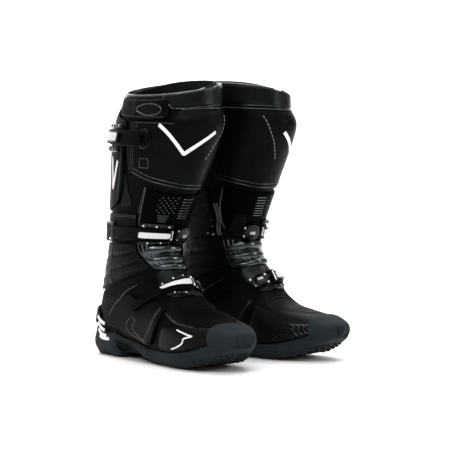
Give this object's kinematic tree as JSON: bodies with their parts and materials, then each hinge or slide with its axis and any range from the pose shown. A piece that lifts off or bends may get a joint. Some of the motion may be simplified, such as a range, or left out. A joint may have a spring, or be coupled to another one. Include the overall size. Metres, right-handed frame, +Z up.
{
  "type": "pair of off-road riding boots",
  "caption": "Tall off-road riding boots with moulded shin, calf and ankle armour, buckled straps, flexing ankle and thick rubber soles, standing side by side.",
  "frame": {"origin": "on the floor, in the middle of the footprint of the pair", "axes": "+Z up along the shafts, -Y towards the toes, +X towards the wearer's left boot"},
  "size_m": [0.2694, 0.3195, 0.3918],
  "materials": {
    "bellows_rubber": "glossy",
    "buckle_metal": "satin",
    "buckle_plastic": "satin",
    "lining_fabric": "woven",
    "mesh": "mesh",
    "moulded_shell": "satin",
    "rubber_grip": "matt",
    "rubber_sole": "matt",
    "soft_leather": "soft",
    "steel": "brushed",
    "upper_leather": "grained"
  },
  "bodies": {
    "right_foot": {"right_outsole": "rubber_sole", "right_shank": "steel", "right_footbed": "lining_fabric", "right_foot_shell": "upper_leather", "right_toe_guard": "moulded_shell", "right_heel_counter": "moulded_shell", "right_outer_ankle_shell": "moulded_shell", "right_inner_ankle_shell": "moulded_shell", "right_lower_catch": "buckle_plastic"},
    "right_shaft": {"right_shaft_shell": "upper_leather", "right_liner": "lining_fabric", "right_collar": "soft_leather", "right_window_panel": "moulded_shell", "right_vent": "mesh", "right_shin_plate": "moulded_shell", "right_lower_guard": "moulded_shell", "right_side_panel": "moulded_shell", "right_calf_plate": "moulded_shell", "right_tendon_guard": "moulded_shell", "right_grip_panel": "rubber_grip", "right_top_catch": "buckle_plastic", "right_middle_catch": "buckle_plastic", "right_ankle_gaiter": "soft_leather", "right_bellows": "bellows_rubber"},
    "right_top_strap": {"right_top_strap": "moulded_shell"},
    "right_top_lever": {"right_top_lever": "buckle_metal"},
    "right_middle_strap": {"right_middle_strap": "moulded_shell"},
    "right_middle_lever": {"right_middle_lever": "buckle_metal"},
    "right_lower_strap": {"right_lower_strap": "moulded_shell"},
    "right_lower_lever": {"right_lower_lever": "buckle_metal"},
    "left_foot": {"left_outsole": "rubber_sole", "left_shank": "steel", "left_footbed": "lining_fabric", "left_foot_shell": "upper_leather", "left_toe_guard": "moulded_shell", "left_heel_counter": "moulded_shell", "left_outer_ankle_shell": "moulded_shell", "left_inner_ankle_shell": "moulded_shell", "left_lower_catch": "buckle_plastic"},
    "left_shaft": {"left_shaft_shell": "upper_leather", "left_liner": "lining_fabric", "left_collar": "soft_leather", "left_window_panel": "moulded_shell", "left_vent": "mesh", "left_shin_plate": "moulded_shell", "left_lower_guard": "moulded_shell", "left_side_panel": "moulded_shell", "left_calf_plate": "moulded_shell", "left_tendon_guard": "moulded_shell", "left_grip_panel": "rubber_grip", "left_top_catch": "buckle_plastic", "left_middle_catch": "buckle_plastic", "left_ankle_gaiter": "soft_leather", "left_bellows": "bellows_rubber"},
    "left_top_strap": {"left_top_strap": "moulded_shell"},
    "left_top_lever": {"left_top_lever": "buckle_metal"},
    "left_middle_strap": {"left_middle_strap": "moulded_shell"},
    "left_middle_lever": {"left_middle_lever": "buckle_metal"},
    "left_lower_strap": {"left_lower_strap": "moulded_shell"},
    "left_lower_lever": {"left_lower_lever": "buckle_metal"}
  },
  "joints": [
    {"name": "right_ankle_flex", "type": "hinge", "parent": "right_foot", "child": "right_shaft", "pos_m": [-0.07172, 0.07466, 0.112], "axis": [0.9956, -0.0941, 0], "range_deg": [-8, 12], "stiffness_Nm_per_rad": 60, "deforming": ["right_ankle_gaiter", "right_bellows"]},
    {"name": "right_top_strap_swing", "type": "hinge", "parent": "right_shaft", "child": "right_top_strap", "pos_m": [-0.12376, -0.00458, 0.30912], "axis": [0.0642, -0.3634, 0.9294], "range_deg": [0, 60]},
    {"name": "right_top_lever_open", "type": "hinge", "parent": "right_top_strap", "child": "right_top_lever", "pos_m": [-0.10253, 0.11029, 0.31391], "axis": [-0.0822, 0.1289, -0.9882], "range_deg": [0, 95]},
    {"name": "right_middle_strap_swing", "type": "hinge", "parent": "right_shaft", "child": "right_middle_strap", "pos_m": [-0.11028, 0.10237, 0.17984], "axis": [0.0442, 0.1017, -0.9938], "range_deg": [0, 60]},
    {"name": "right_middle_lever_open", "type": "hinge", "parent": "right_middle_strap", "child": "right_middle_lever", "pos_m": [-0.0845, -0.00766, 0.17553], "axis": [0.015, -0.3002, 0.9538], "range_deg": [0, 95]},
    {"name": "right_lower_strap_swing", "type": "hinge", "parent": "right_foot", "child": "right_lower_strap", "pos_m": [-0.11994, 0.04138, 0.07212], "axis": [-0.1028, -0.9267, -0.3616], "range_deg": [0, 60]},
    {"name": "right_lower_lever_open", "type": "hinge", "parent": "right_lower_strap", "child": "right_lower_lever", "pos_m": [-0.07613, -0.042, 0.11479], "axis": [-0.1148, 0.5926, 0.7973], "range_deg": [0, 95]},
    {"name": "left_ankle_flex", "type": "hinge", "parent": "left_foot", "child": "left_shaft", "pos_m": [0.07172, 0.07466, 0.112], "axis": [0.9956, 0.0941, 0], "range_deg": [-8, 12], "stiffness_Nm_per_rad": 60, "deforming": ["left_ankle_gaiter", "left_bellows"]},
    {"name": "left_top_strap_swing", "type": "hinge", "parent": "left_shaft", "child": "left_top_strap", "pos_m": [0.12376, -0.00458, 0.30912], "axis": [0.0642, 0.3634, -0.9294], "range_deg": [0, 60]},
    {"name": "left_top_lever_open", "type": "hinge", "parent": "left_top_strap", "child": "left_top_lever", "pos_m": [0.10253, 0.11029, 0.31391], "axis": [-0.0822, -0.1289, 0.9882], "range_deg": [0, 95]},
    {"name": "left_middle_strap_swing", "type": "hinge", "parent": "left_shaft", "child": "left_middle_strap", "pos_m": [0.11028, 0.10237, 0.17984], "axis": [0.0442, -0.1017, 0.9938], "range_deg": [0, 60]},
    {"name": "left_middle_lever_open", "type": "hinge", "parent": "left_middle_strap", "child": "left_middle_lever", "pos_m": [0.0845, -0.00766, 0.17553], "axis": [0.015, 0.3002, -0.9538], "range_deg": [0, 95]},
    {"name": "left_lower_strap_swing", "type": "hinge", "parent": "left_foot", "child": "left_lower_strap", "pos_m": [0.11994, 0.04138, 0.07212], "axis": [-0.1028, 0.9267, 0.3616], "range_deg": [0, 60]},
    {"name": "left_lower_lever_open", "type": "hinge", "parent": "left_lower_strap", "child": "left_lower_lever", "pos_m": [0.07613, -0.042, 0.11479], "axis": [-0.1148, -0.5926, -0.7973], "range_deg": [0, 95]},
    {"name": "left_boot_lift", "type": "slide", "parent": "right_foot", "child": "left_foot", "axis": [0, 0, 1], "range_m": [0, 0.1]}
  ]
}
